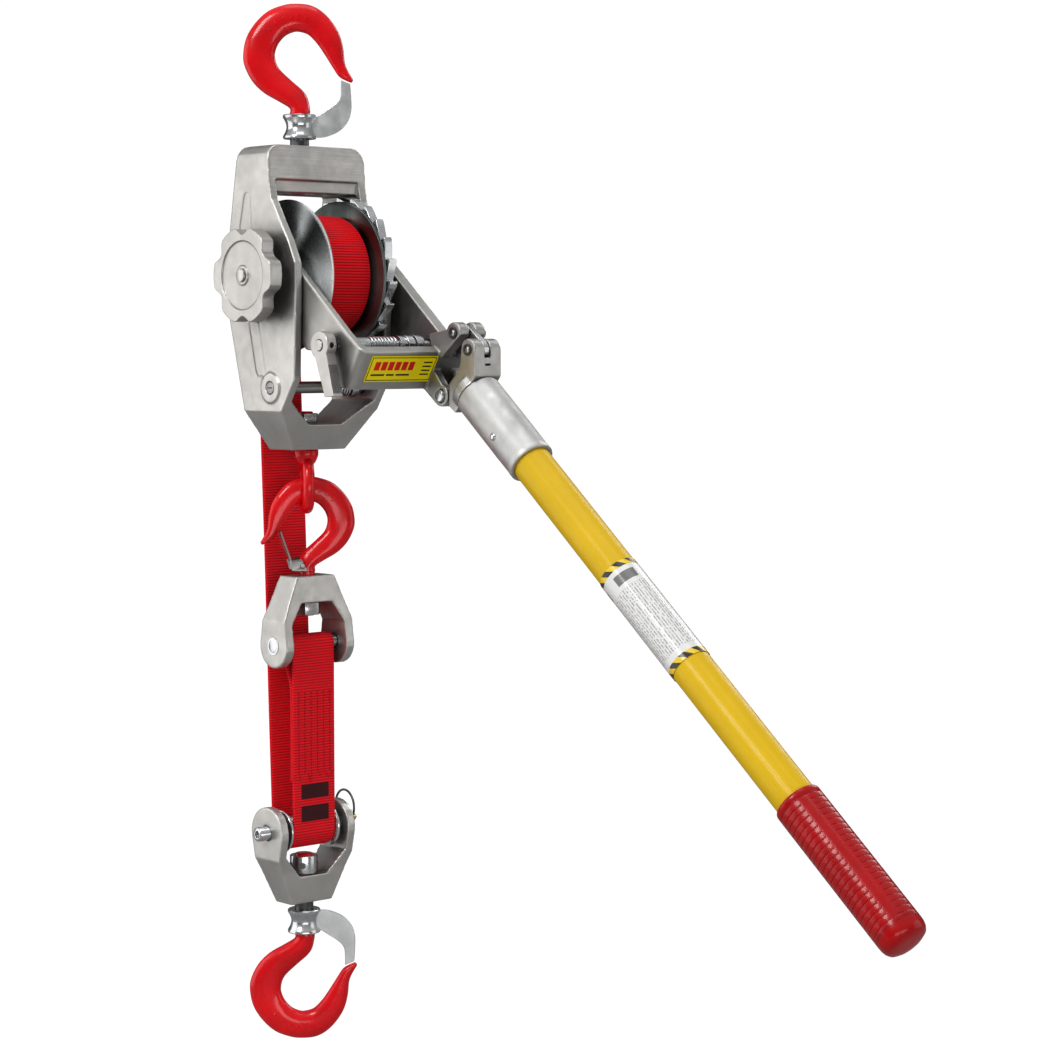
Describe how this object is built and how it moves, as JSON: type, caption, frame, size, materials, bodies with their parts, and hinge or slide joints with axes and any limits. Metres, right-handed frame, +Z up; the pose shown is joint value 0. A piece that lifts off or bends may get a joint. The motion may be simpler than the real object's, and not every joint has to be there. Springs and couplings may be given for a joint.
{
  "type": "web strap ratchet lever hoist",
  "caption": "Lever ratchet hoist with a webbing strap on a toothed drum, swivelling gated hooks at both ends, a strap anchor hook under the frame and a long insulated handle.",
  "frame": {"origin": "centre of the whole tool's bounding box at rest; the load line through both end hooks passes through x 0.00235, y 0.29345, and the drum shaft is at z 0.21255", "axes": "+Z up along the load line towards the top hook; -Y towards the side the handle hangs on; +X along the drum shaft towards the ratchet wheel"},
  "size_m": [0.1498, 0.6864, 0.883],
  "materials": {
    "cast_aluminium": "satin as-cast",
    "zinc_steel": "zinc plated",
    "dark_steel": "black oxide",
    "red_paint": "gloss red on forged steel",
    "red_webbing": "woven polyester webbing",
    "yellow_glass_fibre": "gloss yellow",
    "yellow_label": "printed film",
    "white_label": "printed film",
    "red_vinyl": "gloss dark red",
    "brass": "plain"
  },
  "bodies": {
    "frame": {"frame_casting": "cast_aluminium", "left_shaft_bush": "brass", "right_shaft_bush": "brass", "stop_pawl_shaft": "zinc_steel", "stop_pawl_spring": "zinc_steel", "anchor_clevis": "cast_aluminium", "anchor_pin": "zinc_steel", "strap_loop": "red_webbing", "strap_load_run": "red_webbing", "strap_dead_run": "red_webbing"},
    "drum": {"drum_shaft": "zinc_steel", "drum_core": "dark_steel", "left_flange": "zinc_steel", "right_flange": "zinc_steel", "ratchet_wheel": "zinc_steel", "strap_coil": "red_webbing", "star_knob": "cast_aluminium", "knob_screw": "zinc_steel", "shaft_retaining_ring": "dark_steel"},
    "handle": {"yoke_casting": "cast_aluminium", "yoke_label": "yellow_label", "drive_pawl_spring": "zinc_steel", "fuse_link": "zinc_steel", "link_pin_upper": "zinc_steel", "link_pin_lower": "zinc_steel", "pivot_pin": "zinc_steel", "handle_head": "cast_aluminium", "handle_socket": "cast_aluminium", "socket_rivet": "dark_steel", "handle_rod": "yellow_glass_fibre", "handle_label": "white_label", "handle_grip": "red_vinyl"},
    "drive_pawl": {"drive_pawl": "zinc_steel", "drive_pawl_shaft": "zinc_steel", "pawl_collar": "zinc_steel", "selector_lever": "cast_aluminium", "lever_set_screw": "dark_steel"},
    "stop_pawl": {"stop_pawl": "zinc_steel"},
    "top_hook": {"top_hook": "red_paint", "top_hook_nut": "zinc_steel"},
    "top_gate": {"top_gate": "zinc_steel"},
    "anchor_hook": {"swivel_eye": "red_paint", "eye_nut": "zinc_steel", "anchor_hook": "red_paint", "latch_pin": "zinc_steel", "anchor_hook_nut": "zinc_steel"},
    "anchor_latch": {"anchor_latch": "zinc_steel"},
    "lower_block": {"block_clevis": "cast_aluminium", "sheave_pin": "zinc_steel", "split_ring": "dark_steel", "strap_sheave_wrap": "red_webbing"},
    "sheave": {"sheave": "zinc_steel"},
    "bottom_hook": {"bottom_hook": "red_paint", "bottom_hook_nut": "zinc_steel"},
    "bottom_gate": {"bottom_gate": "zinc_steel"}
  },
  "joints": [
    {"name": "drum_spin", "type": "hinge", "parent": "frame", "child": "drum", "pos_m": [0.00235, 0.27585, 0.21255], "axis": [1, 0, 0], "range_deg": [-458.18, 212.73]},
    {"name": "hoist_travel", "type": "slide", "parent": "frame", "child": "lower_block", "axis": [0, 0, 1], "range_m": [-0.2, 0.095], "deforming": ["strap_load_run", "strap_dead_run"]},
    {"name": "sheave_turn", "type": "hinge", "parent": "lower_block", "child": "sheave", "pos_m": [0.00235, 0.29345, -0.25845], "axis": [1, 0, 0], "range_deg": [-790, 380]},
    {"name": "handle_stroke", "type": "hinge", "parent": "frame", "child": "handle", "pos_m": [0.00235, 0.27585, 0.21255], "axis": [-1, 0, 0], "range_deg": [-16.36, 81.82]},
    {"name": "drive_pawl_turn", "type": "hinge", "parent": "handle", "child": "drive_pawl", "pos_m": [0.00235, 0.19295, 0.15525], "axis": [1, 0, 0], "range_deg": [0, 11]},
    {"name": "stop_pawl_turn", "type": "hinge", "parent": "frame", "child": "stop_pawl", "pos_m": [0.00235, 0.26705, 0.11985], "axis": [1, 0, 0], "range_deg": [0, 12]},
    {"name": "top_hook_swivel", "type": "hinge", "parent": "frame", "child": "top_hook", "pos_m": [0.00235, 0.29345, 0.31255], "axis": [0, 0, 1], "continuous": true},
    {"name": "top_gate_turn", "type": "hinge", "parent": "top_hook", "child": "top_gate", "pos_m": [0.00235, 0.29345, 0.34255], "axis": [0, 0, 1], "range_deg": [0, 110]},
    {"name": "anchor_swivel", "type": "hinge", "parent": "frame", "child": "anchor_hook", "pos_m": [0.00235, 0.28645, 0.01255], "axis": [0, 0, 1], "range_deg": [0, 20]},
    {"name": "anchor_latch_turn", "type": "hinge", "parent": "anchor_hook", "child": "anchor_latch", "pos_m": [-0.00198, 0.28895, -0.03145], "axis": [0.5, 0.866, 0], "range_deg": [0, 12]},
    {"name": "bottom_hook_swivel", "type": "hinge", "parent": "lower_block", "child": "bottom_hook", "pos_m": [0.00235, 0.29345, -0.30745], "axis": [0, 0, 1], "continuous": true},
    {"name": "bottom_gate_turn", "type": "hinge", "parent": "bottom_hook", "child": "bottom_gate", "pos_m": [0.00235, 0.29345, -0.33745], "axis": [0, 0, 1], "range_deg": [0, 110]}
  ],
  "couplings": [
    {"joint": "hoist_travel", "follows": "drum_spin", "m_per_rad": 0.0245},
    {"joint": "sheave_turn", "follows": "drum_spin", "ratio": 1.684}
  ]
}
